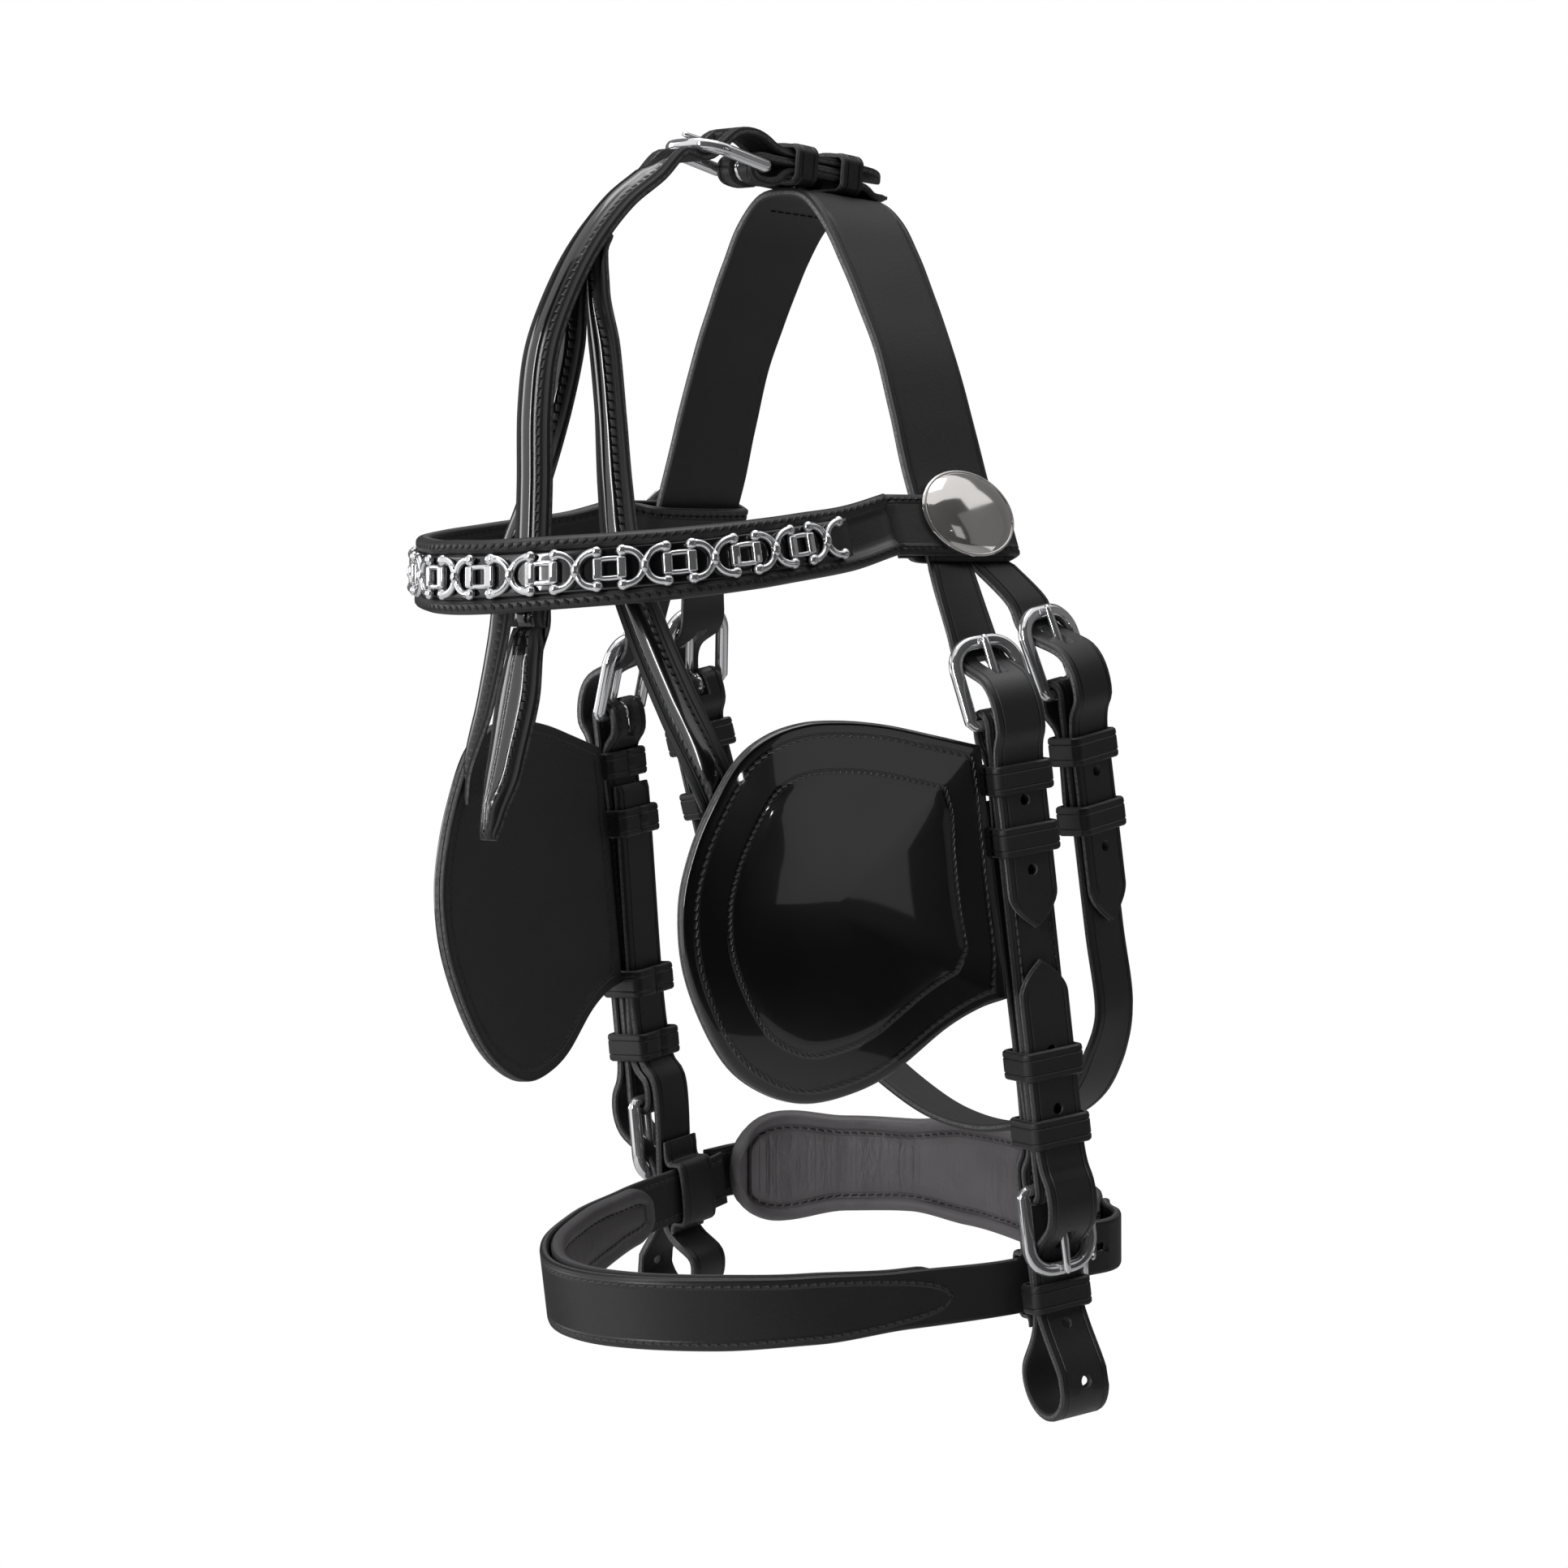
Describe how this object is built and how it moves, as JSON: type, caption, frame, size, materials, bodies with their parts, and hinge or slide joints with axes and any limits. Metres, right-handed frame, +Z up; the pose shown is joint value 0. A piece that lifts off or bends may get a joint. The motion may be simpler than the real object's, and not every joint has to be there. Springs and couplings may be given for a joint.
{
  "type": "driving bridle",
  "caption": "Black patent leather driving bridle with winkers, chrome chain browband, rosettes, padded noseband and jaw strap, throatlatch and buckled cheeks.",
  "frame": {"origin": "under the crown strap at the middle of the headpiece, where the bridle rests on the poll", "axes": "+Z up, the horse faces -Y, its left side is +X"},
  "size_m": [0.2298, 0.2676, 0.4447],
  "materials": {
    "black_leather": "black bridle leather, satin",
    "patent_leather": "black patent, mirror gloss",
    "lining_leather": "soft black lining leather, matt",
    "chrome": "polished",
    "steel_plate": "plain, hidden between the leathers"
  },
  "bodies": {
    "bridle": {"bit_buckle_frame_left": "chrome", "bit_buckle_frame_right": "chrome", "bit_fixed_keeper_left": "black_leather", "bit_fixed_keeper_right": "black_leather", "bit_loop_keeper_left": "black_leather", "bit_loop_keeper_right": "black_leather", "bit_strap_left": "black_leather", "bit_strap_right": "black_leather", "browband": "black_leather", "browband_chain": "chrome", "browband_inlay": "patent_leather", "cheek_buckle_frame_left": "chrome", "cheek_buckle_frame_right": "chrome", "cheek_fixed_keeper_left": "black_leather", "cheek_fixed_keeper_right": "black_leather", "cheek_strap_left": "black_leather", "cheek_strap_right": "black_leather", "crown_buckle_frame": "chrome", "crown_chape": "black_leather", "crown_fixed_keeper": "black_leather", "forehead_strap": "patent_leather", "headpiece": "black_leather", "jaw_pad": "lining_leather", "jaw_strap": "black_leather", "noseband": "black_leather", "noseband_buckle_frame": "chrome", "noseband_loop_left": "black_leather", "noseband_loop_right": "black_leather", "noseband_padding": "lining_leather", "rosette_left": "chrome", "rosette_right": "chrome", "throat_buckle_frame_left": "chrome", "throat_buckle_frame_right": "chrome", "throat_fixed_keeper_left": "black_leather", "throat_fixed_keeper_right": "black_leather", "throatlatch": "black_leather", "winker_stay_left": "patent_leather", "winker_stay_right": "patent_leather"},
    "cheek_tongue_left": {"cheek_buckle_tongue_left": "chrome"},
    "throat_tongue_left": {"throat_buckle_tongue_left": "chrome"},
    "bit_tongue_left": {"bit_buckle_tongue_left": "chrome"},
    "cheek_tongue_right": {"cheek_buckle_tongue_right": "chrome"},
    "throat_tongue_right": {"throat_buckle_tongue_right": "chrome"},
    "bit_tongue_right": {"bit_buckle_tongue_right": "chrome"},
    "crown_tongue": {"crown_buckle_tongue": "chrome"},
    "noseband_tongue": {"noseband_buckle_tongue": "chrome"},
    "cheek_runner_body_left": {"cheek_runner_left": "black_leather"},
    "throat_runner_body_left": {"throat_runner_left": "black_leather"},
    "bit_runner_body_left": {"bit_runner_left": "black_leather"},
    "cheek_runner_body_right": {"cheek_runner_right": "black_leather"},
    "throat_runner_body_right": {"throat_runner_right": "black_leather"},
    "bit_runner_body_right": {"bit_runner_right": "black_leather"},
    "crown_runner_body": {"crown_runner": "black_leather"},
    "winker_left": {"blinker_outer_left": "patent_leather", "blinker_plate_left": "steel_plate", "blinker_lining_left": "black_leather"},
    "winker_right": {"blinker_outer_right": "patent_leather", "blinker_plate_right": "steel_plate", "blinker_lining_right": "black_leather"},
    "face_drop_body": {"face_drop": "patent_leather"}
  },
  "joints": [
    {"name": "cheek_tongue_left_turn", "type": "hinge", "parent": "bridle", "child": "cheek_tongue_left", "pos_m": [0.1003, -0.0085, -0.18], "axis": [0.2226, 0.9641, 0.1446], "range_deg": [0, 8]},
    {"name": "throat_tongue_left_turn", "type": "hinge", "parent": "bridle", "child": "throat_tongue_left", "pos_m": [0.097, 0.0255, -0.17], "axis": [-0.1031, 0.9814, 0.1619], "range_deg": [0, 8]},
    {"name": "bit_tongue_left_turn", "type": "hinge", "parent": "bridle", "child": "bit_tongue_left", "pos_m": [0.1003, 0.01523, -0.33823], "axis": [-0.2226, -0.9641, -0.1446], "range_deg": [0, 8]},
    {"name": "cheek_tongue_right_turn", "type": "hinge", "parent": "bridle", "child": "cheek_tongue_right", "pos_m": [-0.1003, -0.0085, -0.18], "axis": [0.2234, -0.9678, -0.1161], "range_deg": [0, 8]},
    {"name": "throat_tongue_right_turn", "type": "hinge", "parent": "bridle", "child": "throat_tongue_right", "pos_m": [-0.097, 0.0255, -0.17], "axis": [-0.1024, -0.9747, -0.1985], "range_deg": [0, 8]},
    {"name": "bit_tongue_right_turn", "type": "hinge", "parent": "bridle", "child": "bit_tongue_right", "pos_m": [-0.1003, 0.00842, -0.32099], "axis": [-0.2234, 0.9678, 0.1161], "range_deg": [0, 8]},
    {"name": "crown_tongue_turn", "type": "hinge", "parent": "bridle", "child": "crown_tongue", "pos_m": [0, -0.03605, 0.01093], "axis": [-1, 0, 0], "range_deg": [0, 8]},
    {"name": "noseband_tongue_turn", "type": "hinge", "parent": "bridle", "child": "noseband_tongue", "pos_m": [0.066, 0.065, -0.362], "axis": [0.0965, -0.1014, 0.9902], "range_deg": [0, 8]},
    {"name": "cheek_runner_left_slide", "type": "slide", "parent": "bridle", "child": "cheek_runner_body_left", "axis": [0, 0.1483, -0.9889], "range_m": [-0.01, 0.018]},
    {"name": "throat_runner_left_slide", "type": "slide", "parent": "bridle", "child": "throat_runner_body_left", "axis": [0, 0.1628, -0.9867], "range_m": [-0.012, 0.018]},
    {"name": "bit_runner_left_slide", "type": "slide", "parent": "bridle", "child": "bit_runner_body_left", "axis": [0, 0.1483, -0.9889], "range_m": [-0.014, 0.012]},
    {"name": "cheek_runner_right_slide", "type": "slide", "parent": "bridle", "child": "cheek_runner_body_right", "axis": [0, 0.1191, -0.9929], "range_m": [-0.01, 0.018]},
    {"name": "throat_runner_right_slide", "type": "slide", "parent": "bridle", "child": "throat_runner_body_right", "axis": [0.1267, 0.1852, -0.9745], "range_m": [-0.012, 0.018]},
    {"name": "bit_runner_right_slide", "type": "slide", "parent": "bridle", "child": "bit_runner_body_right", "axis": [0, 0.1191, -0.9929], "range_m": [-0.014, 0.012]},
    {"name": "crown_runner_slide", "type": "slide", "parent": "bridle", "child": "crown_runner_body", "axis": [0, 0.9945, -0.1045], "range_m": [-0.01, 0.001]},
    {"name": "winker_left_swing", "type": "hinge", "parent": "bridle", "child": "winker_left", "pos_m": [0.09964, -0.02093, -0.18186], "axis": [0, -0.1483, 0.9889], "range_deg": [0, 8]},
    {"name": "winker_right_swing", "type": "hinge", "parent": "bridle", "child": "winker_right", "pos_m": [-0.09963, -0.02038, -0.18646], "axis": [0, 0.1191, -0.9929], "range_deg": [0, 8]},
    {"name": "face_drop_swing", "type": "hinge", "parent": "bridle", "child": "face_drop_body", "pos_m": [0, -0.1337, -0.1488], "axis": [-1, 0, 0], "range_deg": [-10, 15]}
  ]
}
